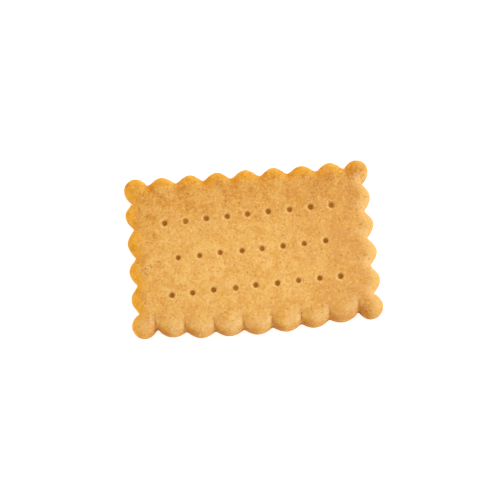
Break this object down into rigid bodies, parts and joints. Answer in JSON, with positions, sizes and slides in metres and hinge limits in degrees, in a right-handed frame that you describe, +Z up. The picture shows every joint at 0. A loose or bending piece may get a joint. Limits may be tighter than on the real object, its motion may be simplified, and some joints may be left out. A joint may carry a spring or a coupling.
{
  "type": "shortbread biscuit",
  "caption": "Flat rectangular butter biscuit with a scalloped edge, round corner lobes and rows of dock marks pressed into its top.",
  "frame": {"origin": "middle of the underside, where the biscuit rests", "axes": "+X along the long side, +Y away from the side nearest the viewer, +Z up through the stamped face"},
  "size_m": [0.0754, 0.051, 0.0066],
  "materials": {
    "baked_crumb": "matt baked butter dough, golden with browner rims, dock marks and underside"
  },
  "bodies": {
    "root": {"biscuit": "baked_crumb"}
  },
  "joints": []
}
